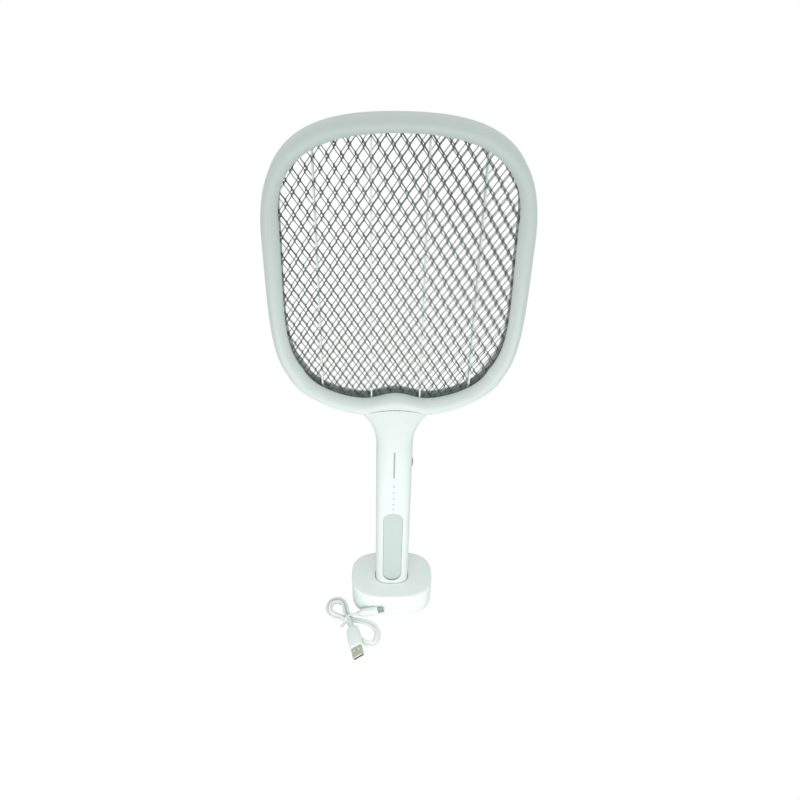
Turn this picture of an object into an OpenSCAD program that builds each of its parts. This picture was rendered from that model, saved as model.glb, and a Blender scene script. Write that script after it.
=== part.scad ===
// Electric fly swatter standing in its charging base, with its charging lead
// tied in a bow beside the base. Origin: centre of the base's foot plane.
// +Z runs up the handle, -Y is the front, +X is the right-hand side.

/* [Head] */
// Height of the top of the head above the table
head_top = 538; // [500:1:560]
// Width of the head
head_w = 222; // [200:1:230]
// Height at which the head is widest
wide_z = 440; // [430:1:450]
// Width of the ring at the top of the head
ring_w = 12.5; // [12:0.5:14]
// Depth of the head and the handle from front to back
body_d = 26; // [25:0.5:28]

/* [Nets] */
// Width of one mesh diamond
cell_w = 11.25; // [9:0.25:14]
// Height of one mesh diamond
cell_h = 19; // [15:0.5:24]
// Width of a mesh strand
strand_w = 1.1; // [0.8:0.1:1.6]
// Thickness of each net
net_t = 0.6; // [0.4:0.1:0.8]
// Distance from the middle net to each outer net
net_gap = 5; // [4.5:0.25:6]
// Spacing of the insulating ribs
rib_pitch = 45; // [40:1:50]

/* [Handle] */
// Width of the handle
handle_w = 36; // [35:0.5:38]
// Height of the crown of the seam between head and handle
seam_z = 273.3; // [270:0.1:276]
// Radius of that curved seam
seam_r = 76.25; // [70:0.25:85]
// Thickness of the handle's walls
wall = 1.8; // [1.5:0.1:2.2]
// Width of the lamp window
lamp_w = 20.5; // [18:0.5:22]
// Lower end of the lamp window
lamp_z0 = 36; // [34:1:40]
// Upper end of the lamp window
lamp_z1 = 139.7; // [130:0.1:142]

/* [Charging base] */
// Width of the charging base
base_w = 90.5; // [84:0.5:96]
// Depth of the charging base from front to back
base_d = 68.5; // [64:0.5:72]
// Height of the charging base
base_h = 31.5; // [30:0.5:34]
// Clearance between the handle and the socket
socket_gap = 0.5; // [0.4:0.05:0.8]

/* [Charging lead] */
// Diameter of the lead
lead_d = 3.2; // [3:0.1:3.5]

/* [Hidden] */

$fn = 48;
steps = 10;              // points along each curve of an outline
round_n = 2.8;           // squareness of the handle's section
base_n = 2.85;           // squareness of the base's outline
hw = head_w / 2;
hd = body_d / 2;
handle_z0 = 12;          // underside of the docked handle
straight_z = 226;        // where the handle starts to flare
wide_x = 0.888 * hw;     // half width where the shoulders turn in
turn_z = wide_z - 131;   // height of that turn
seam_c = seam_z - seam_r;
seam_a = 26.5;           // half angle of the seam's arc
seam_x = seam_r * sin(seam_a);
seam_end = seam_c + seam_r * cos(seam_a);
joint_gap = 0.15;        // half of each shadow gap between shells
pin_x = [-8, 8];         // places of the two charging contacts
pin_y = 4;

// ---------- curves ----------
function bez(p, t) = pow(1 - t, 3) * p[0] + 3 * pow(1 - t, 2) * t * p[1]
                   + 3 * (1 - t) * t * t * p[2] + t * t * t * p[3];
function run(p) = [for (i = [0 : steps - 1]) bez(p, i / steps)];
function sgnpow(v, e) = sign(v) * pow(abs(v), e);
function squircle(a, w, d, n) = [w * sgnpow(cos(a), 2 / n), d * sgnpow(sin(a), 2 / n)];
function ring_points(w, d, n, from = 0, to = 360, count = 48) =
    [for (i = [0 : count - (to - from == 360 ? 1 : 0)]) squircle(from + (to - from) * i / count, w, d, n)];

// Right half of the head's outer edge, from the top down to the end of the seam, then along the seam
outer_half = concat(
    run([[0, head_top], [0.63 * hw, head_top], [hw, head_top - 16.5], [hw, wide_z]]),
    run([[hw, wide_z], [hw, wide_z - 58], [hw + 2.3, wide_z - 106], [wide_x, turn_z]]),
    run([[wide_x, turn_z], [wide_x - 7.8, turn_z - 24], [seam_x + 20.8, seam_end + 3.5], [seam_x, seam_end]]),
    [for (i = [0 : steps]) let (a = seam_a * (1 - i / steps)) [seam_r * sin(a), seam_c + seam_r * cos(a)]]);

// Right half of the opening's edge, with a raised middle between two lobes at the bottom
inner_hw = hw - 15;
inner_top = head_top - ring_w;
lobe_z = seam_z + 9.7;   // lowest point of each lobe
lobe_x = 29;             // where that point is
hump_z = seam_z + 15.4;  // top of the raised middle
inner_half = concat(
    run([[0, inner_top], [0.57 * inner_hw, inner_top], [inner_hw, head_top - 27], [inner_hw, wide_z + 18]]),
    run([[inner_hw, wide_z + 18], [inner_hw, wide_z - 57], [inner_hw + 7, wide_z - 98], [84, turn_z + 6]]),
    run([[84, turn_z + 6], [77, turn_z - 15], [45, lobe_z], [lobe_x, lobe_z]]),
    [for (i = [0 : steps]) bez([[lobe_x, lobe_z], [18, lobe_z], [10, hump_z], [0, hump_z]], i / steps)]);

outer_edge = concat(outer_half, [for (i = [len(outer_half) - 2 : -1 : 1]) [-outer_half[i][0], outer_half[i][1]]]);
inner_edge = concat(inner_half, [for (i = [len(inner_half) - 2 : -1 : 1]) [-inner_half[i][0], inner_half[i][1]]]);
stations = len(outer_edge);
function across(u) = [for (i = [0 : stations - 1]) outer_edge[i] + (inner_edge[i] - outer_edge[i]) * u];

// Half width of the flared neck at a height above the straight handle
function neck_point(t) = bez([[handle_w / 2, straight_z], [handle_w / 2, straight_z + 20],
                              [26, seam_end - 7], [seam_x, seam_end]], t);
// How deep the front of the body is at a point on the seam, as a share of half the depth
seam_slope = 1.38;       // how fast the body widens above the end of the seam
function seam_share(p) = let (w = seam_x + seam_slope * (p[1] - seam_end), r = min(1, abs(p[0]) / w))
    p[1] > seam_end + 20 ? 0 : pow(max(0, 1 - pow(r, round_n)), 1 / round_n);
on_seam = [for (i = [0 : stations - 1]) i >= 3 * steps && i <= 5 * steps ? 1 : 0];

// ---------- shared shapes ----------
module skin(rings, loop = false) {
    n = len(rings[0]);
    m = len(rings);
    last = loop ? m - 1 : m - 2;
    sides = [for (r = [0 : last], k = [0 : n - 1], f = [0, 1])
        let (a = r * n + k, b = r * n + (k + 1) % n, c = ((r + 1) % m) * n + (k + 1) % n,
             d = ((r + 1) % m) * n + k)
        f == 0 ? [a, b, c] : [a, c, d]];
    caps = loop ? [] : [[for (k = [n - 1 : -1 : 0]) k], [for (k = [0 : n - 1]) (m - 1) * n + k]];
    polyhedron(points = [for (r = rings, p = r) p], faces = concat(sides, caps), convexity = 10);
}

module slab(y0, y1) translate([0, y1, 0]) rotate([90, 0, 0]) linear_extrude(y1 - y0) children();

module upright(z0, z1) translate([0, 0, z0]) linear_extrude(z1 - z0) children();

module stadium(w, h) {
    square([w, h - w], center = true);
    translate([0, (h - w) / 2]) circle(d = w);
    translate([0, -(h - w) / 2]) circle(d = w);
}

module front_bore(z, d, y0, y1, x = 0) translate([x, y1, z]) rotate([90, 0, 0]) cylinder(d = d, h = y1 - y0);

// A tube swept along points on a lead that lies in gentle curves
module tube(points, d) {
    last = len(points) - 1;
    skin([for (i = [0 : last])
        let (t = points[min(i + 1, last)] - points[max(i - 1, 0)],
             side = [t[1], -t[0], 0] / norm([t[0], t[1]]),
             top = cross(side, t) / norm(t))
        [for (k = [0 : 7]) points[i] + d / 2 * (cos(45 * k) * side + sin(45 * k) * top)]]);
}

// ---------- head ----------
// Section of the front half of the frame: share of the ring's width, and depth from the middle plane
channel_u = 0.40;
lip = 0.43;              // depth of the lip that holds the outer net
section = [[0, 0], [0, -0.45], [0.04, -0.68], [0.12, -0.86], [0.25, -0.97], [0.38, -1], [0.6, -0.93],
           [0.8, -0.78], [0.93, -0.62], [1, lip * -1.1], [1, -lip], [channel_u, -lip], [channel_u, 0]];
crest = 5;               // index of the section's highest point

module half_frame(side) {
    skin([for (i = [0 : stations - 1])
        let (o = outer_edge[i], v = inner_edge[i] - o, share = on_seam[i] * seam_share(o))
        [for (s = [0 : len(section) - 1])
            let (u = section[s][0], d = section[s][1],
                 rise = s > 0 && s <= crest ? share - (1 - share) * d : -d,
                 p = o + v * u)
            [p[0], side * hd * rise, p[1]]]], loop = true);
}

screw_u = 0.21;
screw_at = [4, 13, 24, stations - 4, stations - 13, stations - 24];

module frame_screw_places() {
    for (i = screw_at) {
        p = across(screw_u)[i];
        translate([p[0], 0, p[1]]) rotate([-90, 0, 0]) children();
    }
}

module front_frame() color("white") difference() {
    half_frame(-1);
    frame_screw_places() translate([0, 0, -6.2]) cylinder(d = 1.9, h = 7);
    slab(-hd - 1, 1) translate([0, seam_c]) circle(r = seam_r + joint_gap);
}

module rear_frame() color("white") difference() {
    half_frame(1);
    frame_screw_places() {
        translate([0, 0, -1]) cylinder(d = 2.1, h = hd + 2);
        translate([0, 0, 6.4]) cylinder(d = 3.2, h = hd);
    }
    slab(-1, hd + 1) translate([0, seam_c]) circle(r = seam_r + joint_gap);
}

module frame_screws() color("silver") frame_screw_places() {
    translate([0, 0, -6]) cylinder(d = 1.8, h = 12.5);
    difference() {
        translate([0, 0, 6.5]) cylinder(d = 3, h = 1.4);
        translate([0, 0, 7.2]) cylinder(d = 1.2, h = 1.5, $fn = 6);
    }
}

// Expanded-metal net: whole diamonds cut out of a sheet that the frames clamp
net_outline = across(0.46);
cell_limit = across(0.93);
net_z = 410;             // height of the middle row of diamonds
function crossings(poly, p) = len([for (i = [0 : len(poly) - 1])
    let (a = poly[i], b = poly[(i + 1) % len(poly)])
    if ((a[1] > p[1]) != (b[1] > p[1]) && p[0] < (b[0] - a[0]) * (p[1] - a[1]) / (b[1] - a[1]) + a[0]) 1]);
function inside(poly, p) = crossings(poly, p) % 2 == 1;
function cell(c) = [c + [cell_w / 2 - strand_w, 0], c + [0, cell_h / 2 - strand_w * 1.7],
                    c - [cell_w / 2 - strand_w, 0], c - [0, cell_h / 2 - strand_w * 1.7]];
net_cells = [for (j = [-14 : 14], i = [-10 : 10])
    let (c = [(i + (j % 2 == 0 ? 0 : 0.5)) * cell_w, net_z + j * cell_h / 2], k = cell(c))
    if (inside(cell_limit, k[0]) && inside(cell_limit, k[1]) && inside(cell_limit, k[2])
        && inside(cell_limit, k[3])) k];

module net(y) {
    points = concat(net_outline, [for (k = net_cells, p = k) p]);
    holes = [for (h = [0 : len(net_cells) - 1]) [for (k = [0 : 3]) stations + 4 * h + k]];
    slab(y - net_t / 2, y + net_t / 2)
        polygon(points = points, paths = concat([[for (i = [0 : stations - 1]) i]], holes));
}

module front_net() color("gainsboro") net(-net_gap);
module high_voltage_net() color("silver") net(0);
module rear_net() color("gainsboro") net(net_gap);

// Insulating ring that keeps a pair of nets apart, slotted for the ribs
spacer_t = net_gap - net_t;
rib_t = 1.3;

module ribs_2d(grow = 0) for (i = [-1.5 : 1 : 1.5]) translate([i * rib_pitch, net_z])
    square([rib_t + grow, 300], center = true);

module spacer_ring(side) slab(side > 0 ? net_t / 2 : -net_gap + net_t / 2,
                              side > 0 ? net_gap - net_t / 2 : -net_t / 2)
    difference() {
        polygon(across(0.48));
        polygon(across(0.8));
        ribs_2d(0.1);
    }

module rib_set(side) slab(side > 0 ? net_t / 2 : -net_gap + net_t / 2,
                          side > 0 ? net_gap - net_t / 2 : -net_t / 2)
    intersection() {
        polygon(across(0.5));
        ribs_2d();
    }

module front_spacer_ring() color("dimgray") spacer_ring(-1);
module rear_spacer_ring() color("dimgray") spacer_ring(1);
module front_ribs() color("whitesmoke") rib_set(-1);
module rear_ribs() color("whitesmoke") rib_set(1);

// ---------- handle ----------
inner_w = handle_w / 2 - wall;
inner_d = hd - wall;
lamp_mid = (lamp_z0 + lamp_z1) / 2;
lamp_h = lamp_z1 - lamp_z0;
trigger_z = 206;         // height of the trigger at the back
slider_z = 200;          // height of the mode slider
slider_travel = 5;
plate_z0 = 164;
plate_z1 = 226;
indicator_z0 = 188.4;
indicator_z1 = 222.3;
light_z = [145.4, 152.8, 160.6, 169, 177.3];
handle_screws_at = [[0, 30], [0, 142], [-12, 238], [12, 238]];

// side is -1 for the front half and +1 for the back half
module half_section(side, w, d) polygon([for (p = ring_points(w, d, round_n, 0, 180, 24)) [p[0], side * p[1]]]);

// Solid half of the handle and its flared neck. Its top follows the curved seam of the head.
half_n = 24;
function seam_rise(c) = seam_c + sqrt(pow(seam_r - joint_gap, 2) - pow(seam_x * c, 2)) - seam_end;
function half_ring(side, w, z, bow) = [for (k = [0 : 2 * half_n - 1])
    let (c = sgnpow(cos(180 * min(k, 2 * half_n - k) / half_n), 2 / round_n),
         lift = bow * seam_rise(c),
         y = hd * pow(max(0, 1 - pow(abs(w * c) / (w + seam_slope * lift), round_n)), 1 / round_n))
    [side * w * c, k > half_n ? 0 : side * y, z + lift]];

module solid_half(side) {
    flare = [for (i = [0 : 8]) let (p = neck_point(i / 8)) half_ring(side, p[0], p[1], pow(i / 8, 2))];
    rings = concat([half_ring(side, handle_w / 2, handle_z0, 0)], flare);
    n = 2 * half_n;
    top = n * (len(rings) - 1);
    walls = [for (r = [0 : len(rings) - 2], k = [0 : n - 1], f = [0, 1])
        let (a = r * n + k, b = r * n + (k + 1) % n)
        f == 0 ? [a, b, b + n] : [a, b + n, a + n]];
    ends = [for (k = [0 : half_n - 1], f = [0, 1])
        let (a = k, b = k + 1, c = n - k - 1, d = (n - k) % n)
        if (f == 0 ? c != b : a != d) f == 0 ? [c, b, a] : [d, c, a]];
    lid = [for (t = ends) [t[2] + top, t[1] + top, t[0] + top]];
    polyhedron(points = [for (r = rings, p = r) p], faces = concat(walls, ends, lid), convexity = 6);
}

module handle_half(side) difference() {
    solid_half(side);
    difference() {
        upright(handle_z0 + 2, straight_z - 2) half_section(side, inner_w, inner_d);
        for (p = handle_screws_at) front_bore(p[1], 5.4, -hd, hd, x = p[0]);
    }
    // wire channel through the neck
    translate([-7, side > 0 ? -1 : -5, straight_z - 3]) cube([14, 6, 60]);
}

module plate_slot() translate([inner_w + 0.7, -2.7, plate_z0 - 0.1])
    cube([4, 5.4, plate_z1 - plate_z0 + 0.2]);
module slider_slot() translate([inner_w - 3, -2.4, slider_z - 4.3]) cube([7, 4.8, 8.6 + slider_travel]);

module handle_front_shell() color("white") difference() {
    handle_half(-1);
    slab(-hd - 1, -inner_d + 1.5) translate([0, lamp_mid]) stadium(lamp_w, lamp_h);
    translate([-0.8, -hd - 1, indicator_z0 - 0.1]) cube([1.6, 4, indicator_z1 - indicator_z0 + 0.2]);
    for (z = light_z) front_bore(z, 2, -hd - 1, main_y + 0.2);
    plate_slot();
    slider_slot();
    for (p = handle_screws_at) front_bore(p[1], 1.9, -8, 1, x = p[0]);
}

module handle_rear_shell() color("white") difference() {
    handle_half(1);
    slab(inner_d - 1.5, hd + 1) translate([0, trigger_z]) stadium(12, 29);
    plate_slot();
    slider_slot();
    for (x = pin_x) translate([x, pin_y, handle_z0 - 1]) cylinder(d = 4.2, h = 4);
    for (p = handle_screws_at) {
        front_bore(p[1], 2.1, -1, hd + 1, x = p[0]);
        front_bore(p[1], 4.2, screw_seat_y, hd + 1, x = p[0]);
    }
}

screw_seat_y = 7;
module handle_screws() color("silver") for (p = handle_screws_at) translate([p[0], 0, 0]) {
    front_bore(p[1], 1.8, -7.8, screw_seat_y + 0.1);
    difference() {
        front_bore(p[1], 3.8, screw_seat_y, screw_seat_y + 1.4);
        front_bore(p[1], 1.4, screw_seat_y + 0.8, screw_seat_y + 2, $fn = 6);
    }
}

module lamp_window() color("gainsboro") slab(-inner_d - 0.5, -inner_d + 0.9)
    translate([0, lamp_mid]) stadium(lamp_w - 2 * joint_gap, lamp_h - 2 * joint_gap);

lamp_board_y = -8.2;
board_t = 1.2;
module lamp_board() color("darkgreen") difference() {
    translate([-8, lamp_board_y, 40]) cube([16, board_t, 96]);
    for (z = [42.5, 133.5]) front_bore(z, 2, lamp_board_y - 1, lamp_board_y + 2, x = 5.5);
}

module uv_leds() color("plum") for (k = [0 : 6]) translate([0, lamp_board_y - 1, 49 + 13 * k]) {
    translate([-1.75, 0.2, -1.4]) cube([3.5, 0.8, 2.8]);
    rotate([90, 0, 0]) cylinder(d = 2.4, h = 0.5);
    translate([0, 0.2, 0]) rotate([90, 0, 0]) cylinder(d = 2.4, h = 0.2);
}

main_y = -7.2;
module indicator_line() color("lightgray") translate([-0.7, -hd + 0.15, indicator_z0])
    cube([1.4, hd + main_y - 0.15, indicator_z1 - indicator_z0]);

module battery_lights() color("gainsboro") for (z = light_z) front_bore(z, 1.8, -hd + 0.1, main_y);

module main_board() color("darkgreen") difference() {
    translate([-12.5, main_y, 145]) cube([25, board_t, 78]);
    for (x = [-10.5, 10.5], z = [147.5, 220.5]) front_bore(z, 2, main_y - 1, main_y + 2, x = x);
}

board_back = main_y + board_t;
module step_up_transformer() {
    color("black") translate([-8, board_back, 150]) cube([14, 3, 16]);
    color("peru") translate([-1, board_back + 3, 158]) rotate([-90, 0, 0]) cylinder(d = 12, h = 6);
    color("black") translate([-8, board_back + 9, 150]) cube([14, 2.6, 16]);
}

module capacitor() color("firebrick") translate([-9, board_back, 170]) cube([14, 7, 10]);

module diodes() color("dimgray") for (x = [-8, -4, 0, 4]) {
    translate([x, board_back + 1.4, 184]) cylinder(d = 2.6, h = 5);
    for (z = [182.6, 189]) translate([x - 0.35, board_back, z]) cube([0.7, 1.8, 1.4]);
}

module battery_cell() {
    color("steelblue") translate([0, 1.4, 52]) cylinder(d = 14.2, h = 48.5);
    color("silver") translate([0, 1.4, 100.5]) cylinder(d = 5.5, h = 1.2);
}

module net_leads() color("firebrick") for (x = [-4, 0, 4])
    translate([x, -3.2, 221.5]) cylinder(d = 1.4, h = seam_z - 225);

module trigger_switch() color("black") {
    translate([-3, board_back, trigger_z - 3]) cube([6, 6, 6]);
    front_bore(trigger_z, 3.4, board_back + 6, 6.6);
}

module trigger_button() color("whitesmoke") {
    slab(inner_d - 1.4, hd + 1.4) translate([0, trigger_z]) stadium(11.2, 28.2);
    slab(8.3, inner_d - 1.4) translate([0, trigger_z]) stadium(13.6, 30.6);
}

module mode_switch() color("black") translate([9, board_back, slider_z - 5]) cube([3.4, 8.6, 16]);

module switch_plate() color("dimgray") difference() {
    translate([inner_w + 0.8, -2.6, plate_z0]) cube([0.8, 5.2, plate_z1 - plate_z0]);
    slider_slot();
}

module mode_slider() color("gray") {
    translate([inner_w - 1.4, -2.1, slider_z - 4]) cube([3.6, 4.2, 8]);
    translate([inner_w - 2.4, -3.4, slider_z - 5]) cube([1.3, 6.8, 10]);
    for (k = [-1 : 1]) translate([inner_w + 2.2, -2.1, slider_z + 2 * k - 0.4]) cube([0.5, 4.2, 0.8]);
}

module charge_pads() color("gold") for (x = pin_x) translate([x, pin_y, handle_z0]) {
    cylinder(d = 4, h = 2.6);
    translate([0, 0, 2.1]) cylinder(d = 5.6, h = 0.5);
}

// ---------- charging base ----------
foot_h = 1.5;
well_z = handle_z0 - 0.3;
well_w = handle_w / 2 + socket_gap;
well_d = hd + socket_gap;
dock_wall = 2.2;
dock_screw_x = [-30, 30];
dock_screw_y = [-18, 18];
edge_r = 2;                // rounding of the base's top edge

module base_2d(inset = 0) polygon(ring_points(base_w / 2 - inset, base_d / 2 - inset, base_n, count = 64));

// Level rings: how far each is drawn in, and its height
draft = 0.5;
base_levels = concat(
    [[draft + 0.6, foot_h], [draft, foot_h + 0.6]],
    [for (a = [0 : 22.5 : 90]) [edge_r * (1 - cos(a)), base_h - edge_r * (1 - sin(a))]]);
module dock_outer() skin([for (v = base_levels)
    [for (q = ring_points(base_w / 2 - v[0], base_d / 2 - v[0], base_n, count = 64)) [q[0], q[1], v[1]]]]);

module dock_shell() color("white") difference() {
    dock_outer();
    difference() {
        upright(foot_h - 1, base_h - 2.6) base_2d(dock_wall);
        upright(well_z - 1.8, base_h + 2) polygon(ring_points(well_w + 1.8, well_d + 1.8, round_n));
    }
    upright(well_z, base_h + 1) polygon(ring_points(well_w, well_d, round_n));
    for (x = pin_x) translate([x, pin_y, well_z - 3]) cylinder(d = 2.6, h = 4);
    translate([-4.3, base_d / 2 - 4, 4.6]) cube([8.6, 6, 3.6]);
}

module dock_bottom() color("whitesmoke") difference() {
    upright(foot_h + 0.2, foot_h + 2.2) base_2d(dock_wall + 0.2);
    for (x = dock_screw_x, y = dock_screw_y) translate([x, y, 0]) cylinder(d = 3, h = 6);
}

module dock_ballast() color("slategray") difference() {
    upright(foot_h + 2.2, foot_h + 6.6) intersection() {
        base_2d(dock_wall + 1.5);
        union() {
            translate([-37, -24]) square([15, 48]);
            translate([22, -24]) square([15, 48]);
        }
    }
    for (x = dock_screw_x, y = dock_screw_y) translate([x, y, 0]) cylinder(d = 5, h = 12);
}

module dock_board() color("darkgreen") translate([-16, -9, foot_h + 2.2]) cube([32, 38, 1.2]);

module usb_socket() color("silver") difference() {
    translate([-3.9, base_d / 2 - 7, 4.9]) cube([7.8, 5.6, 3]);
    translate([-3.4, base_d / 2 - 5.6, 5.3]) cube([6.8, 5, 2.2]);
}

pin_top = handle_z0 - 0.1;
module pin_housing() color("dimgray") difference() {
    translate([-12, 0, 4.9]) cube([24, 8, well_z - 1.8 - 4.9]);
    for (x = pin_x) translate([x, pin_y, 0]) {
        cylinder(d = 3.8, h = 9);
        cylinder(d = 2.2, h = 20);
    }
}

module contact_pin(x) color("gold") translate([x, pin_y, 0]) {
    translate([0, 0, 8.4]) cylinder(d = 2, h = pin_top - 8.4);
    translate([0, 0, 7.6]) cylinder(d = 3.4, h = 0.9);
}
module contact_pin_left() contact_pin(pin_x[0]);
module contact_pin_right() contact_pin(pin_x[1]);

// Compression springs under the pins, drawn pressed to their shortest length
spring_h = 1.3;
module pin_springs() color("silver") for (x = pin_x) translate([x, pin_y, 4.95])
    for (k = [0 : 2]) translate([0, 0, 0.2 + k * 0.45])
        rotate_extrude() translate([1.3, 0]) circle(d = 0.4, $fn = 16);

module dock_screws() color("silver") for (x = dock_screw_x, y = dock_screw_y) translate([x, y, foot_h + 0.2]) {
    cylinder(d = 2.6, h = 6.4);
    translate([0, 0, 2]) cylinder(d = 4.4, h = 1.4);
}

module rubber_feet() color("dimgray") for (x = [-27, 27], y = [-17, 17])
    translate([x, y, 0]) cylinder(d = 9, h = foot_h + 0.2);

// ---------- charging lead ----------
tie_at = [-47.5, -41.5];
tie_turn = -38;          // direction of the strands through the tie
waist = [6, 10, 2 * lead_d + 0.2];
strap = 0.8;             // thickness of the tie

lead_turn = -2;          // the lead's layout, turned about the middle of the base
module on_table() rotate([0, 0, lead_turn]) children();
module tie_place(z = 0) on_table() translate([tie_at[0], tie_at[1], z]) rotate([0, 0, tie_turn]) children();
module block(size) translate([-size[0] / 2, -size[1] / 2, 0]) cube(size);

// Strands side by side and one on the other where the tie holds them
module lead_waist() color("whitesmoke") tie_place(strap) block(waist);

module lead_tie() color("whitesmoke") tie_place() {
    difference() {
        block([3, waist[1] + 2 * strap, waist[2] + 2 * strap]);
        translate([0, 0, strap]) block([4, waist[1], waist[2]]);
    }
    translate([-1.5, -waist[1] / 2 - strap - 6, 0]) cube([3, 6, strap]);
}

// Outline of the loops on the left of the tie
left_outline = concat(
    [for (i = [0 : 12]) bez([[-46.9, -35.8], [-42.5, -20], [-58, -2], [-71.5, -17.5]], i / 12)],
    [for (i = [1 : 12]) bez([[-71.5, -17.5], [-81, -28.5], [-73, -46.5], [-53, -43.5]], i / 12)]);
module lead_left_loops() color("whitesmoke") on_table() linear_extrude(8) polygon(left_outline);

// Two strands side by side round the loop on the right of the tie
right_outer = concat(
    [for (i = [0 : 12]) bez([[-42.3, -39.8], [-31, -36.8], [-9.6, -37.8], [-9.6, -61.5]], i / 12)],
    [for (i = [1 : 12]) bez([[-9.6, -61.5], [-9.6, -87], [-28, -83.3], [-47.6, -46.6]], i / 12)]);
right_inner = concat(
    [for (i = [0 : 12]) bez([[-38.5, -46.5], [-29, -48], [-16.5, -48.5], [-16.1, -61]], i / 12)],
    [for (i = [1 : 11]) bez([[-16.1, -61], [-16.1, -77], [-27, -77], [-38.5, -46.5]], i / 12)]);
module lead_right_loops() color("whitesmoke") on_table() linear_extrude(lead_d + 0.2) difference() {
    polygon(right_outer);
    polygon(right_inner);
}

// Larger plug: lies rolled over with its left edge down, on top of the lead
module usb_place() on_table()
    translate([-39.6, -65, 7.7]) rotate([0, 0, 14]) rotate([0, -31, 0]) children();

usb_body_h = 17;         // from the middle of the overmould to its metal end
module usb_plug_body() color("whitesmoke") usb_place() {
    slab(-usb_body_h, 8) polygon(ring_points(7.5, 4, 3.6, count = 32));
    translate([0, 8, 0]) rotate([-90, 0, 0]) cylinder(d1 = 6.4, d2 = 4.2, h = 6);
}
module usb_plug_shell() color("silver") usb_place() difference() {
    translate([-6, -usb_body_h - 12, -2.25]) cube([12, 12, 4.5]);
    translate([-5.7, -usb_body_h - 13, -1.95]) cube([11.4, 12.5, 3.9]);
}

// Smaller plug: on its narrow edge, leaning on the wall of the charging base
module micro_place() on_table() translate([-24.3, -37.8, 11.2]) rotate([0, -13, 2]) children();

module micro_plug_body() color("whitesmoke") micro_place() {
    translate([-10, 0, 0]) rotate([0, 90, 0]) linear_extrude(20.5)
        polygon(ring_points(4.9, 3.4, 3.6, count = 32));
    translate([-14, 0, 0]) rotate([0, 90, 0]) cylinder(d1 = 4.2, d2 = 5.8, h = 4);
}
module micro_plug_shell() color("silver") micro_place() difference() {
    translate([10.5, -0.9, -3.45]) cube([6.5, 1.8, 6.9]);
    translate([12, -0.65, -3.2]) cube([6, 1.3, 6.4]);
}

usb_end = [[-46.9, -45.9, 5.7], [-45.2, -48.6, 6.7], [-42.99, -51.42, 7.7]];
micro_end = [[-43.3, -41.1, 5.6], [-41.3, -39.6, 6.7], [-37.9, -38.25, 8.05]];
module lead_usb_end() color("whitesmoke") on_table() tube(usb_end, lead_d);
module lead_micro_end() color("whitesmoke") on_table() tube(micro_end, lead_d);

dock_shell();
dock_bottom();
dock_ballast();
dock_board();
usb_socket();
pin_housing();
pin_springs();
dock_screws();
rubber_feet();
contact_pin_left();
contact_pin_right();
front_frame();
rear_frame();
front_net();
high_voltage_net();
rear_net();
front_spacer_ring();
rear_spacer_ring();
front_ribs();
rear_ribs();
frame_screws();
handle_front_shell();
handle_rear_shell();
handle_screws();
lamp_window();
lamp_board();
uv_leds();
indicator_line();
battery_lights();
main_board();
step_up_transformer();
capacitor();
diodes();
battery_cell();
net_leads();
trigger_switch();
mode_switch();
charge_pads();
trigger_button();
switch_plate();
mode_slider();
lead_left_loops();
lead_waist();
lead_right_loops();
lead_usb_end();
lead_micro_end();
lead_tie();
usb_plug_body();
usb_plug_shell();
micro_plug_body();
micro_plug_shell();
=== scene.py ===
import math

import bmesh
import bpy
from mathutils import Matrix, Vector


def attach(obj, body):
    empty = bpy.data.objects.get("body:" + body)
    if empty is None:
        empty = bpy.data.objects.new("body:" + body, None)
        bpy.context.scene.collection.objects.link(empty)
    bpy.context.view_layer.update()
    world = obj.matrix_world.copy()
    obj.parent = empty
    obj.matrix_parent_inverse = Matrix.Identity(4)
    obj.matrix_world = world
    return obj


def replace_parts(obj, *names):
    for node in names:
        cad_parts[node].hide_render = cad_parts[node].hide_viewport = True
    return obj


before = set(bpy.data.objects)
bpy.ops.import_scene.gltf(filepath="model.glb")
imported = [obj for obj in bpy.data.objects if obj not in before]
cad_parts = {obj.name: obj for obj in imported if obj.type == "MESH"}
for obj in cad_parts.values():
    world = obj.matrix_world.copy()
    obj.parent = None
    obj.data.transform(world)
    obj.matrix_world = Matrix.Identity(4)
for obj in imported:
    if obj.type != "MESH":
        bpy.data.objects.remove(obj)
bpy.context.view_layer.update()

# Lengths in this script are millimetres until they reach make(), which scales them to metres.
MM = 0.001

# ---------------------------------------------------------------- camera
CAMERA_AT = (-17, -569, 690)
CAMERA_TURN = -2.15
CAMERA_TILT = 54
CAMERA_ROLL = 1.5
CAMERA_LENS = 33.5

camera = bpy.data.objects.new("camera", bpy.data.cameras.new("camera"))
camera.data.sensor_width = 36
camera.data.lens = CAMERA_LENS
camera.data.clip_start = 0.01
camera.data.clip_end = 50
camera.matrix_world = (
    Matrix.Translation(Vector(CAMERA_AT) * MM)
    @ Matrix.Rotation(math.radians(CAMERA_TURN), 4, "Z")
    @ Matrix.Rotation(math.radians(CAMERA_TILT), 4, "X")
    @ Matrix.Rotation(math.radians(CAMERA_ROLL), 4, "Z")
)
bpy.context.scene.collection.objects.link(camera)
bpy.context.scene.camera = camera


# ---------------------------------------------------------------- materials
def nodes_of(mat):
    return mat.node_tree.nodes, mat.node_tree.links, mat.node_tree.nodes["Principled BSDF"]


def noise(mat, scale, detail=3.0, stretch=(1, 1, 1)):
    """A noise texture in the object's own space, with scale counted per metre."""
    nodes, links, _ = nodes_of(mat)
    coord = nodes.new("ShaderNodeTexCoord")
    mapping = nodes.new("ShaderNodeMapping")
    mapping.inputs["Scale"].default_value = stretch
    texture = nodes.new("ShaderNodeTexNoise")
    texture.inputs["Scale"].default_value = scale
    texture.inputs["Detail"].default_value = detail
    links.new(coord.outputs["Object"], mapping.inputs["Vector"])
    links.new(mapping.outputs["Vector"], texture.inputs["Vector"])
    return texture.outputs["Fac"]


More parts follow.
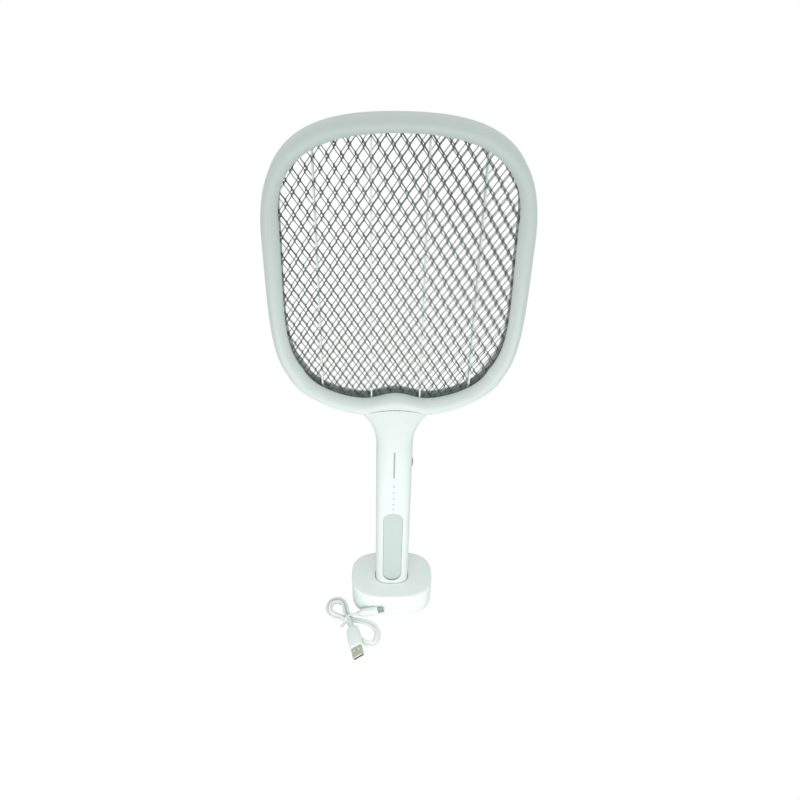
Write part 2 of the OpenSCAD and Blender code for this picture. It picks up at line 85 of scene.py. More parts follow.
def mixed(mat, factor, low, high):
    nodes, links, _ = nodes_of(mat)
    mix = nodes.new("ShaderNodeMix")
    mix.data_type = "RGBA"
    mix.inputs[6].default_value = (*low, 1)
    mix.inputs[7].default_value = (*high, 1)
    links.new(factor, mix.inputs[0])
    return mix.outputs[2]


def ranged(mat, factor, low, high):
    nodes, links, _ = nodes_of(mat)
    ramp = nodes.new("ShaderNodeMapRange")
    ramp.inputs["From Min"].default_value = 0.3
    ramp.inputs["From Max"].default_value = 0.7
    ramp.inputs["To Min"].default_value = low
    ramp.inputs["To Max"].default_value = high
    links.new(factor, ramp.inputs["Value"])
    return ramp.outputs["Result"]


def finish_of(name, colour, rough=0.45, metal=0.0, vary=0.03, mottle=60, grain=1500,
              depth=0.03, stretch=(1, 1, 1), **sockets):
    """A moulded, drawn or printed surface: broad colour variation, uneven gloss and a fine grain."""
    mat = bpy.data.materials.new(name)
    mat.use_nodes = True
    nodes, links, shader = nodes_of(mat)
    dark = tuple(c * (1 - vary) for c in colour)
    light = tuple(min(1, c * (1 + vary)) for c in colour)
    broad = noise(mat, mottle, stretch=stretch)
    links.new(mixed(mat, broad, dark, light), shader.inputs["Base Color"])
    links.new(ranged(mat, noise(mat, 4 * mottle), rough - 0.05, rough + 0.06), shader.inputs["Roughness"])
    bump = nodes.new("ShaderNodeBump")
    bump.inputs["Strength"].default_value = 0.35
    bump.inputs["Distance"].default_value = depth * MM
    links.new(noise(mat, grain, 4.0, stretch), bump.inputs["Height"])
    links.new(bump.outputs["Normal"], shader.inputs["Normal"])
    shader.inputs["Metallic"].default_value = metal
    for socket, value in sockets.items():
        shader.inputs[socket.replace("_", " ")].default_value = value
    mat.diffuse_color = (*colour, 1)
    return mat


WHITE = finish_of("moulded_white", (0.76, 0.80, 0.785), 0.4, vary=0.012, grain=2600, depth=0.02)
# The dock's white is a lighter copy of the racket's moulded white: its extra lightness is painted light.
DOCK_WHITE_PAINTED_LIGHT = finish_of("dock_white_painted_light", (0.86, 0.895, 0.88), 0.45, vary=0.012, grain=2200, depth=0.03)
INNER_WHITE = finish_of("inner_white", (0.62, 0.64, 0.63), 0.5)
BUTTON = finish_of("button_white", (0.70, 0.72, 0.71), 0.5, grain=3200, depth=0.04)
LEAD = finish_of("lead_white", (0.80, 0.84, 0.825), 0.5, vary=0.02, mottle=90, grain=2500, depth=0.03)
TIE = finish_of("tie_white", (0.80, 0.83, 0.82), 0.42, mottle=200)
NET = finish_of("net_metal", (0.15, 0.175, 0.165), 0.75, metal=0.15, vary=0.16, mottle=140, grain=3000)
LIVE_NET = finish_of("live_net_metal", (0.14, 0.165, 0.155), 0.75, metal=0.15, vary=0.16, mottle=140)
# The spacer's dark grey is painted shade: it stands for the shadow in the hollow between the front and rear
# nets.
SPACER_PAINTED_SHADE = finish_of("insulator_grey", (0.25, 0.285, 0.275), 0.55, vary=0.08)
# The ribs' white is lighter than the moulded white: painted light that cancels the shade they get between the
# nets.
RIB_PAINTED_LIGHT = finish_of("insulator_white", (0.92, 0.95, 0.94), 0.6)
LAMP = finish_of("lamp_diffuser", (0.535, 0.585, 0.57), 0.45, vary=0.01, depth=0.01)
GUIDE = finish_of("light_guide", (0.42, 0.45, 0.445), 0.4, vary=0.03)
LED = finish_of("led_violet", (0.42, 0.32, 0.62), 0.25, vary=0.05)
BOARD = finish_of("circuit_board", (0.03, 0.16, 0.07), 0.4, vary=0.3, mottle=400)
STEEL = finish_of("plated_steel", (0.55, 0.56, 0.56), 0.3, metal=1.0, vary=0.08, mottle=200)
PLUG_STEEL = finish_of("plug_steel", (0.50, 0.53, 0.44), 0.42, metal=0.55, vary=0.12, mottle=220,
                       grain=1800, stretch=(1, 6, 1))
MICRO_STEEL = finish_of("micro_steel", (0.34, 0.40, 0.37), 0.4, metal=0.6, vary=0.12, mottle=220)
BALLAST = finish_of("ballast_steel", (0.30, 0.31, 0.32), 0.55, metal=0.8, vary=0.15, mottle=150)
BLACK = finish_of("black_plastic", (0.03, 0.03, 0.032), 0.45, vary=0.15)
# The switch plate and slider's dark grey is partly their own colour and partly painted shade, standing for
# the shaded seam down the handle's right side.
SWITCH_GREY_AND_SEAM_SHADE = finish_of("switch_grey", (0.20, 0.21, 0.21), 0.5, vary=0.08)
RUBBER = finish_of("foot_rubber", (0.10, 0.10, 0.10), 0.8, vary=0.12, mottle=300, grain=900, depth=0.08)
GOLD = finish_of("gold_contact", (0.85, 0.62, 0.24), 0.25, metal=1.0, vary=0.05)
FERRITE = finish_of("ferrite", (0.06, 0.06, 0.065), 0.6, vary=0.2, mottle=500)
CAPACITOR = finish_of("capacitor_red", (0.45, 0.05, 0.03), 0.35, vary=0.08)
CELL = finish_of("cell_sleeve", (0.07, 0.16, 0.36), 0.3, vary=0.05)
LEAD_RED = finish_of("lead_red", (0.50, 0.03, 0.03), 0.4, vary=0.08)
FLOOR = finish_of("floor_white", (0.87, 0.89, 0.88), 0.7, vary=0.01, mottle=3, grain=300)

CAD_FINISH = {
    "dock_bottom": INNER_WHITE, "dock_ballast": BALLAST, "dock_board": BOARD, "usb_socket": STEEL,
    "pin_housing": BLACK, "pin_springs": STEEL, "dock_screws": STEEL, "rubber_feet": RUBBER,
    "contact_pin_left": GOLD, "contact_pin_right": GOLD, "front_ribs": RIB_PAINTED_LIGHT, "rear_ribs": RIB_PAINTED_LIGHT,
    "frame_screws": STEEL, "handle_screws": STEEL, "lamp_board": BOARD, "uv_leds": LED,
    "indicator_line": GUIDE, "battery_lights": GUIDE, "main_board": BOARD,
    "step_up_transformer": FERRITE, "capacitor": CAPACITOR, "diodes": BLACK, "battery_cell": CELL,
    "net_leads": LEAD_RED, "trigger_switch": BLACK, "mode_switch": BLACK, "charge_pads": GOLD,
    "switch_plate": SWITCH_GREY_AND_SEAM_SHADE, "mode_slider": SWITCH_GREY_AND_SEAM_SHADE,
}
for node, look in CAD_FINISH.items():
    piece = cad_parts[node]
    piece.data.materials.clear()
    piece.data.materials.append(look)


# ---------------------------------------------------------------- mesh helpers
def crease(obj, angle=38):
    """Smooth shading, with every edge sharper than the angle left crisp."""
    work = bmesh.new()
    work.from_mesh(obj.data)
    limit = math.radians(angle)
    for face in work.faces:
        face.smooth = True
    for edge in work.edges:
        edge.smooth = len(edge.link_faces) == 2 and edge.calc_face_angle(0) < limit
    work.to_mesh(obj.data)
    work.free()


def make(name, points, faces, mat, body, at=None):
    """A closed mesh from points in millimetres."""
    mesh = bpy.data.meshes.new(name)
    at = at or Matrix.Identity(4)
    mesh.from_pydata([(at @ Vector(p)) * MM for p in points], [], faces)
    mesh.materials.append(mat)
    obj = bpy.data.objects.new(name, mesh)
    bpy.context.scene.collection.objects.link(obj)
    work = bmesh.new()
    work.from_mesh(mesh)
    bmesh.ops.recalc_face_normals(work, faces=work.faces)
    work.to_mesh(mesh)
    work.free()
    if body:
        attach(obj, body)
    return obj


def loft_faces(count, size, closed=False):
    last = count if closed else count - 1
    faces = [(r * size + k, r * size + (k + 1) % size,
              (r + 1) % count * size + (k + 1) % size, (r + 1) % count * size + k)
             for r in range(last) for k in range(size)]
    if not closed:
        faces += [tuple(range(size)), tuple((count - 1) * size + k for k in range(size))]
    return faces


def loft(name, rings, mat, body, closed=False, at=None):
    points = [p for ring in rings for p in ring]
    return make(name, points, loft_faces(len(rings), len(rings[0]), closed), mat, body, at)


def cut(obj, *cutters):
    """Takes the cutters out of obj and removes them."""
    for tool in cutters:
        step = obj.modifiers.new("cut", "BOOLEAN")
        step.operation = "DIFFERENCE"
        step.solver = "EXACT"
        step.object = tool
    bpy.context.view_layer.update()
    made = bpy.data.meshes.new_from_object(obj.evaluated_get(bpy.context.evaluated_depsgraph_get()))
    obj.modifiers.clear()
    old, obj.data = obj.data, made
    bpy.data.meshes.remove(old)
    for tool in cutters:
        bpy.data.objects.remove(tool)
    work = bmesh.new()
    work.from_mesh(obj.data)
    bmesh.ops.dissolve_degenerate(work, dist=0.00001, edges=work.edges)
    work.to_mesh(obj.data)
    work.free()


def soften(obj, width, segments=2, angle=40):
    """Small rounds on every crisp edge."""
    step = obj.modifiers.new("edges", "BEVEL")
    step.width = width * MM
    step.segments = segments
    step.limit_method = "ANGLE"
    step.angle_limit = math.radians(angle)
    step.harden_normals = False
    step.miter_outer = "MITER_ARC"


def prism(outline, y0, y1, name="tool"):
    """Outline points are (x, z); the prism runs along Y."""
    return loft(name, [[(x, y, z) for x, z in outline] for y in (y0, y1)], WHITE, None)


def stadium(w, h, x=0.0, z=0.0, count=24):
    r, arm = w / 2, (h - w) / 2
    ends = []
    for half in (0, 1):
        for i in range(count + 1):
            a = math.pi * (half + i / count)
            ends.append((x + r * math.cos(a), z + (arm if half == 0 else -arm) + r * math.sin(a)))
    return ends


def rectangle(x0, x1, z0, z1):
    return [(x0, z0), (x1, z0), (x1, z1), (x0, z1)]


def disc(x, z, d, count=32):
    return [(x + d / 2 * math.cos(2 * math.pi * i / count), z + d / 2 * math.sin(2 * math.pi * i / count))
            for i in range(count)]


# ---------------------------------------------------------------- outlines shared with the CAD part
HEAD_TOP, HEAD_W, WIDE_Z, RING_W, HD = 538, 222, 440, 12.5, 13
HANDLE_W, SEAM_Z, SEAM_R, SEAM_A = 18, 273.3, 76.25, math.radians(26.5)
HANDLE_Z0, STRAIGHT_Z, ROUND_N = 12, 226, 2.8
HW = HEAD_W / 2
WIDE_X = 0.888 * HW
TURN_Z = WIDE_Z - 131
SEAM_C = SEAM_Z - SEAM_R
SEAM_X = SEAM_R * math.sin(SEAM_A)
SEAM_END = SEAM_C + SEAM_R * math.cos(SEAM_A)
SEAM_SLOPE = 1.38
GAP = 0.15
STEPS = 36


def bez(p, t):
    a, b, c, d = (Vector(q) for q in p)
    return (1 - t) ** 3 * a + 3 * (1 - t) ** 2 * t * b + 3 * (1 - t) * t * t * c + t ** 3 * d


def run(p, count=STEPS):
    return [bez(p, i / count) for i in range(count)]


def mirrored(half):
    return half + [Vector((-p.x, p.y)) for p in reversed(half[1:-1])]


OUTER = mirrored(
    run([(0, HEAD_TOP), (0.63 * HW, HEAD_TOP), (HW, HEAD_TOP - 16.5), (HW, WIDE_Z)])
    + run([(HW, WIDE_Z), (HW, WIDE_Z - 58), (HW + 2.3, WIDE_Z - 106), (WIDE_X, TURN_Z)])
    + run([(WIDE_X, TURN_Z), (WIDE_X - 7.8, TURN_Z - 24),
           (SEAM_X + 20.8, SEAM_END + 3.5), (SEAM_X, SEAM_END)])
    + [Vector(((SEAM_R + GAP) * math.sin(a), SEAM_C + (SEAM_R + GAP) * math.cos(a)))
       for a in (SEAM_A * (1 - i / STEPS) for i in range(STEPS + 1))])
IHW, INNER_TOP = HW - 15, HEAD_TOP - RING_W
LOBE_X, LOBE_Z, HUMP_Z = 29, SEAM_Z + 9.7, SEAM_Z + 15.4
INNER = mirrored(
    run([(0, INNER_TOP), (0.57 * IHW, INNER_TOP), (IHW, HEAD_TOP - 27), (IHW, WIDE_Z + 18)])
    + run([(IHW, WIDE_Z + 18), (IHW, WIDE_Z - 57), (IHW + 7, WIDE_Z - 98), (84, TURN_Z + 6)])
    + run([(84, TURN_Z + 6), (77, TURN_Z - 15), (45, LOBE_Z), (LOBE_X, LOBE_Z)])
    + [bez([(LOBE_X, LOBE_Z), (18, LOBE_Z), (10, HUMP_Z), (0, HUMP_Z)], i / STEPS) for i in range(STEPS + 1)])
STATIONS = len(OUTER)


def across(u):
    return [o + (i - o) * u for o, i in zip(OUTER, INNER)]


def inside(outline, x, z):
    odd = False
    for a, b in zip(outline, outline[1:] + outline[:1]):
        if (a.y > z) != (b.y > z) and x < (b.x - a.x) * (z - a.y) / (b.y - a.y) + a.x:
            odd = not odd
    return odd


def power(v, e):
    return math.copysign(abs(v) ** e, v)


def squircle(w, d, n, count, start=0.0, stop=2 * math.pi, whole=True):
    span = count if whole else count - 1
    return [(w * power(math.cos(a), 2 / n), d * power(math.sin(a), 2 / n))
            for a in (start + (stop - start) * i / span for i in range(count))]


# ---------------------------------------------------------------- head frames
# Across the ring from its outer edge to the opening: share of the width, and depth
CROWN = [(0, 0.03), (0, 0.25), (0, 0.45), (0.04, 0.68), (0.12, 0.86), (0.25, 0.97), (0.38, 1.0), (0.6, 0.93),
         (0.8, 0.78), (0.93, 0.62), (1, 0.47)]
CREST = 0.38
CHANNEL_U, LIP = 0.40, 0.43
SUB = 4


def catmull(points, sub):
    out = []
    for i in range(len(points) - 1):
        p = [Vector(points[max(0, min(len(points) - 1, i + k))]) for k in (-1, 0, 1, 2)]
        for s in range(sub):
            t = s / sub
            out.append(0.5 * (2 * p[1] + (p[2] - p[0]) * t + (2 * p[0] - 5 * p[1] + 4 * p[2] - p[3]) * t * t
                              + (3 * p[1] - p[0] - 3 * p[2] + p[3]) * t ** 3))
    return out + [Vector(points[-1])]


def seam_share(p):
    if p.y > SEAM_END + 20:
        return 0
    w = SEAM_X + SEAM_SLOPE * (p.y - SEAM_END)
    return max(0, 1 - min(1, abs(p.x) / w) ** ROUND_N) ** (1 / ROUND_N)


def head_frame(name, side, body):
    section = [Vector((0.012, 0))] + catmull(CROWN, SUB)
    lip = [Vector((0.985, LIP)), Vector((CHANNEL_U, LIP)), Vector((CHANNEL_U, 0))]
    rings = []
    for i in range(STATIONS):
        o, v = OUTER[i], INNER[i] - OUTER[i]
        share = seam_share(o) if 3 * STEPS <= i <= 5 * STEPS else 0
        ring = []
        for k, (u, d) in enumerate(section):
            if k and u <= CREST:
                d = share + (1 - share) * d - share * 0.03 * max(0, 1 - u / 0.03)
            p = o + v * max(0, u)
            ring.append((p.x, side * HD * d, p.y))
        for u, d in lip:
            p = o + v * u
            ring.append((p.x, side * HD * d, p.y))
        rings.append(ring)
    obj = loft(name, rings, WHITE, body, closed=True)
    return obj


front_frame = head_frame("head_frame_front", -1, "racket")
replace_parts(front_frame, "front_frame")
crease(front_frame, 50)

rear_frame = head_frame("head_frame_rear", 1, "racket")
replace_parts(rear_frame, "rear_frame")
SCREW_U = 0.21
CAD_STEPS = 10
for i in (4, 13, 24, -4, -13, -24):
    o = across(SCREW_U)[i * STEPS // CAD_STEPS]
    cut(rear_frame, prism(disc(o.x, o.y, 3.2), 6.4, HD + 2))
crease(rear_frame, 50)


# ---------------------------------------------------------------- nets, spacers
CELL_W, CELL_H, NET_Z = 11.25, 19, 410
NET_GAP = 5
STRAND_W, STRAND_T, KNUCKLE = 0.62, 0.48, 1.5
TILT = math.radians(-12)


def net(name, y, shift, mat):
    """Expanded metal: long bonds where strands meet, and strands that twist between them."""
    a, b = CELL_W / 2, CELL_H / 2
    limit, keep = across(0.50), across(0.44)
    points, faces = [], []

    def closed(rings):
        start, size = len(points), len(rings[0])
        points.extend(p for ring in rings for p in ring)
        faces.extend(tuple(start + k for k in f) for f in loft_faces(len(rings), size))

    def strand(p, q, sign):
        axis = (q - p).normalized()
        side = Vector((axis.z, 0, -axis.x))
        rings = []
        for t, twist in ((0, 0.2), (0.16, 0.8), (0.5, 1), (0.84, 0.8), (1, 0.2)):
            w = side * math.cos(sign * TILT * twist) + Vector((0, math.sin(sign * TILT * twist), 0))
            h = w.cross(axis)
            c = p.lerp(q, t)
            rings.append([c + w * (STRAND_W / 2 * e) + h * (STRAND_T / 2 * f)
                          for e, f in ((1, 0.5), (0.6, 1), (-0.6, 1), (-1, 0.5), (-1, -0.5), (-0.6, -1),
                                       (0.6, -1), (1, -0.5))])
        closed(rings)

    for j in range(-16, 17):
        for i in range(-22, 23):
            if (i + j) % 2:
                continue
            c = Vector((i * a + shift[0], y, NET_Z + j * b + shift[1]))
            here = inside(limit, c.x, c.z)
            if here:
                shape = [(0.5, 1), (0.92, 0.5), (1, 0), (0.92, -0.5), (0.5, -1),
                         (-0.5, -1), (-0.92, -0.5), (-1, 0), (-0.92, 0.5), (-0.5, 1)]
                closed([[c + Vector((e * 0.74 * s, h, f * 1.7 * s)) for e, f in shape]
                        for h, s in ((-0.32, 0.8), (-0.18, 1), (0.18, 1), (0.32, 0.8))])
            for sx in (-1, 1):
                p = c + Vector((sx * 0.35, 0, KNUCKLE * 0.8))
                q = c + Vector((sx * (a - 0.35), 0, b - KNUCKLE * 0.8))
                if not (inside(limit, p.x, p.z) or inside(limit, q.x, q.z)):
                    continue
                if not inside(keep, p.x, p.z):
                    p = edge_point(keep, q, p)
                if not inside(keep, q.x, q.z):
                    q = edge_point(keep, p, q)
                strand(p, q, sx)
    obj = make(name, points, faces, mat, "racket")
    crease(obj, 60)
    return obj


def edge_point(outline, within, beyond):
    lo, hi = 0.0, 1.0
    for _ in range(9):
        mid = (lo + hi) / 2
        p = within.lerp(beyond, mid)
        if inside(outline, p.x, p.z):
            lo = mid
        else:
            hi = mid
    return within.lerp(beyond, lo)


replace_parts(net("net_front", -NET_GAP, (0, 0), NET), "front_net")
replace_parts(net("net_live", 0, (1.2, 0.8), LIVE_NET), "high_voltage_net")
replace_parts(net("net_rear", NET_GAP, (-0.8, 1.6), NET), "rear_net")

RIB_X, RIB_T = (-67.5, -22.5, 22.5, 67.5), 1.4
for side, label in ((-1, "front"), (1, "rear")):
    outer, inner = across(0.46), across(0.8)
    y0, y1 = side * 0.4, side * (NET_GAP - 0.4)
    rings = [[(o.x, y0, o.y), (o.x, y1, o.y), (i.x, y1, i.y), (i.x, y0, i.y)] for o, i in zip(outer, inner)]
    # Spacer ring in the painted shade grey, which darkens the hollow between the nets
    spacer = loft(f"spacer_{label}", rings, SPACER_PAINTED_SHADE, "racket", closed=True)
    cut(spacer, *[prism(rectangle(x - RIB_T / 2, x + RIB_T / 2, 250, 560), -7, 7) for x in RIB_X])
    crease(spacer)
    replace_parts(spacer, f"{label}_spacer_ring")


# ---------------------------------------------------------------- handle
WALL = 1.8
INNER_W, INNER_D = HANDLE_W - WALL, HD - WALL
LIGHT_BORE_END = -7
HALF_N = 64
LAMP_W, LAMP_Z0, LAMP_Z1 = 20.5, 36, 139.7
LIGHT_Z = (145.4, 152.8, 160.6, 169, 177.3)
INDICATOR = (188.4, 222.3)
PLATE = (164, 226)
SLIDER_Z, SLIDER_TRAVEL = 200, 5
TRIGGER_Z = 206
SCREWS = ((0, 30), (0, 142), (-12, 238), (12, 238))
SCREW_SEAT = 7


def neck(t):
    return bez([(HANDLE_W, STRAIGHT_Z), (HANDLE_W, STRAIGHT_Z + 20),
                (26, SEAM_END - 7), (SEAM_X, SEAM_END)], t)


def seam_rise(c):
    return SEAM_C + math.sqrt((SEAM_R - GAP) ** 2 - (SEAM_X * c) ** 2) - SEAM_END


def half_ring(side, w, z, bow, inset=0.0, drop=0.0):
    """From the right-hand parting line round the front or the back to the left-hand one."""
    ring = []
    for k in range(HALF_N + 1):
        a = math.pi * k / HALF_N
        c = power(math.cos(a), 2 / ROUND_N)
        lift = bow * seam_rise(c)
        y = HD * max(0, 1 - abs(w * c / (w + SEAM_SLOPE * lift)) ** ROUND_N) ** (1 / ROUND_N)
        scale = 1 - inset / w
        ring.append((w * c * scale, side * max(0.0, y - inset * (y / HD) ** 0.3), z + lift - drop))
    first, last = ring[0], ring[-1]
    groove = 0.22
    ring[0] = (first[0], side * 0.25, first[2])
    ring[-1] = (last[0], side * 0.25, last[2])
    return ([(first[0] - groove, side * 0.02, first[2])] + ring + [(last[0] + groove, side * 0.02, last[2])])


def handle_half(name, side):
    rings = [half_ring(side, HANDLE_W, HANDLE_Z0 + z, 0, inset)
             for z, inset in ((0, 1.0), (0.13, 0.62), (0.38, 0.3), (0.7, 0.09), (1.1, 0))]
    rings += [half_ring(side, HANDLE_W, HANDLE_Z0 + 1.1 + (STRAIGHT_Z - HANDLE_Z0 - 1.1) * i / 30, 0)
              for i in range(1, 30)]
    for i in range(0, 33):
        p = neck(i / 32)
        bow = (i / 32) ** 2
        if i < 32:
            rings.append(half_ring(side, p.x, p.y, bow))
    end = neck(1)
    rings.append(half_ring(side, end.x, end.y, 1, 0, 0.30))
    rings.append(half_ring(side, end.x, end.y, 1, 0.09, 0.1))
    rings.append(half_ring(side, end.x, end.y, 1, 0.3, 0))
    shell = loft(name, rings, WHITE, "racket")
    cavity = loft("tool", [[(x, y, z) for x, y in squircle(INNER_W, INNER_D, ROUND_N, 96)]
                           for z in (HANDLE_Z0 + 2, STRAIGHT_Z - 2)], WHITE, None)
    cut(cavity, *[prism(disc(x, z, 5.4), -HD, HD) for x, z in SCREWS[:2]])
    near, far = (-1, 5) if side > 0 else (-5, 1)
    channel = prism(rectangle(-7, 7, STRAIGHT_Z - 3, SEAM_Z + 4), near, far)
    tools = [cavity, channel, box_tool(INNER_W + 0.7, 21, -2.7, 2.7, PLATE[0] - 0.1, PLATE[1] + 0.1),
             box_tool(INNER_W - 3, INNER_W + 4, -2.4, 2.4, SLIDER_Z - 4.3, SLIDER_Z + 4.3 + SLIDER_TRAVEL)]
    if side < 0:
        middle = (LAMP_Z0 + LAMP_Z1) / 2
        tools.append(prism(stadium(LAMP_W, LAMP_Z1 - LAMP_Z0, 0, middle, 40), -HD - 1, -INNER_D + 1.5))
        tools.append(prism(rectangle(-0.8, 0.8, INDICATOR[0] - 0.1, INDICATOR[1] + 0.1), -HD - 1, -HD + 3))
        tools += [prism(disc(0, z, 2), -HD - 1, LIGHT_BORE_END) for z in LIGHT_Z]
        tools += [prism(disc(x, z, 1.9), -8, 1) for x, z in SCREWS]
    else:
        tools.append(prism(stadium(12, 29, 0, TRIGGER_Z, 32), INNER_D - 1.5, HD + 1))
        tools += [prism(disc(x, z, 2.1), -1, SCREW_SEAT + 1) for x, z in SCREWS]
        tools += [prism(disc(x, z, 4.2), SCREW_SEAT, HD + 1) for x, z in SCREWS]
        tools += [loft("tool", [[(x + px, y + 4, z) for px, y in disc(0, 0, 4.2)]
                                for z in (HANDLE_Z0 - 1, HANDLE_Z0 + 3)], WHITE, None) for x in (-8, 8)]
    cut(shell, *tools)
    crease(shell, 42)
    return shell


def box_tool(x0, x1, y0, y1, z0, z1):
    return prism(rectangle(x0, x1, z0, z1), y0, y1)


handle_front = handle_half("handle_front", -1)
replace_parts(handle_front, "handle_front_shell")
handle_rear = handle_half("handle_rear", 1)
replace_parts(handle_rear, "handle_rear_shell")


def cushion_of(name, w, h, z, levels, mat, body="racket", count=40):
    """A pill-shaped cap along Y: levels are (y, how far its outline is drawn in)."""
    rings = [[(x, y, zz) for x, zz in stadium(w - 2 * inset, h - 2 * inset, 0, z, count)]
             for y, inset in levels]
    obj = loft(name, rings, mat, body)
    crease(obj, 35)
    return obj


lamp = cushion_of("lamp_window", LAMP_W - 0.3, LAMP_Z1 - LAMP_Z0 - 0.3, (LAMP_Z0 + LAMP_Z1) / 2,
                  [(-INNER_D + 0.9, 0), (-INNER_D - 0.2, 0), (-INNER_D - 0.36, 0.08), (-INNER_D - 0.46, 0.28),
                   (-INNER_D - 0.5, 0.6)], LAMP)
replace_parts(lamp, "lamp_window")
trigger = cushion_of("trigger_cap", 11.2, 28.2, TRIGGER_Z,
                     [(8.3, -1.2), (9.7, -1.2), (9.8, -1.1), (9.8, 0), (13.2, 0), (13.75, 0.16), (14.15, 0.5),
                      (14.36, 1.0), (14.4, 1.6), (14.1, 3.2), (13.9, 4.4)], BUTTON, "trigger")
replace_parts(trigger, "trigger_button")


# ---------------------------------------------------------------- charging base
BASE_W, BASE_D, BASE_H, BASE_N = 45.25, 34.25, 31.5, 2.85
FOOT_H, WELL_Z, WELL_W, WELL_D, DOCK_WALL, EDGE_R, DRAFT = 1.5, 11.7, 18.5, 13.5, 2.2, 2, 0.5
AROUND = 160


def base_ring(inset, z):
    return [(x, y, z) for x, y in squircle(BASE_W - inset, BASE_D - inset, BASE_N, AROUND)]


def well_ring(grow, z):
    return [(x, y, z) for x, y in squircle(WELL_W + grow, WELL_D + grow, ROUND_N, AROUND)]


def between(a, b, t):
    return [tuple(Vector(p).lerp(Vector(q), t)) for p, q in zip(a, b)]


dock_rings = [well_ring(1.8, WELL_Z - 1.8), well_ring(1.8, BASE_H - 2.6), base_ring(DOCK_WALL, BASE_H - 2.6),
              base_ring(DOCK_WALL, FOOT_H), base_ring(DRAFT + 0.6, FOOT_H),
              base_ring(DRAFT + 0.2, FOOT_H + 0.15), base_ring(DRAFT, FOOT_H + 0.5)]
dock_rings += [base_ring(DRAFT * (1 - t), FOOT_H + 0.5 + (BASE_H - EDGE_R - FOOT_H - 0.5) * t)
               for t in (0.25, 0.5, 0.75)]
for step in range(0, 13):
    a = math.pi / 2 * step / 12
    dock_rings.append(base_ring(EDGE_R * (1 - math.cos(a)), BASE_H - EDGE_R * (1 - math.sin(a))))
top_edge, well_edge = base_ring(EDGE_R, BASE_H), well_ring(0.7, BASE_H)
dock_rings += [between(top_edge, well_edge, t) for t in (0.2, 0.4, 0.6, 0.8)]
for step in range(0, 7):
    a = math.pi / 2 * step / 6
    dock_rings.append(well_ring(0.7 * (1 - math.sin(a)), BASE_H - 0.7 * (1 - math.cos(a))))
dock_rings += [well_ring(0, 24), well_ring(0, 18), well_ring(0, WELL_Z)]
dock = loft("dock_shell", dock_rings, DOCK_WHITE_PAINTED_LIGHT, "dock")
port = [(x * 4.3, z * 1.8 + 6.4) for x, z in squircle(1, 1, 6, 40)]
cut(dock, prism(port, BASE_D - 4, BASE_D + 3),
    *[loft("tool", [[(x + px, y + 4, z) for px, y in disc(0, 0, 2.6)] for z in (WELL_Z - 3, WELL_Z + 1)],
           WHITE, None) for x in (-8, 8)])
crease(dock, 35)
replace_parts(dock, "dock_shell")


# ---------------------------------------------------------------- charging lead
LEAD_R = 1.6
LEAD_TURN = Matrix.Rotation(math.radians(-2), 4, "Z")
TIE_AT, ALONG, ASIDE = Vector((-47.5, -41.5)), Vector((0.788, -0.616)), Vector((0.616, 0.788))
LOW, HIGH, LANE = 2.4, 5.7, 3.3


def lane(shift, face):
    """Where a strand enters the tie: face is -1 on its left and +1 on its right."""
    return tuple(TIE_AT + ASIDE * shift + ALONG * 3 * face)


USB_AT = Matrix.Translation((-39.6, -65, 7.7)) @ Matrix.Rotation(math.radians(14), 4, "Z") \
    @ Matrix.Rotation(math.radians(-31), 4, "Y")
MICRO_AT = Matrix.Translation((-24.3, -37.8, 11.2)) @ Matrix.Rotation(math.radians(2), 4, "Z") \
    @ Matrix.Rotation(math.radians(-13), 4, "Y")
usb_tail = USB_AT @ Vector((0, 14, 0))
micro_tail = MICRO_AT @ Vector((-14, 0, 0))


def tied(shift, height, face):
    """A strand straight through the tie, from one face to the other."""
    return [lane(shift, f * face) for f in (1, 0.3, -0.3, -1)], [height] * 4


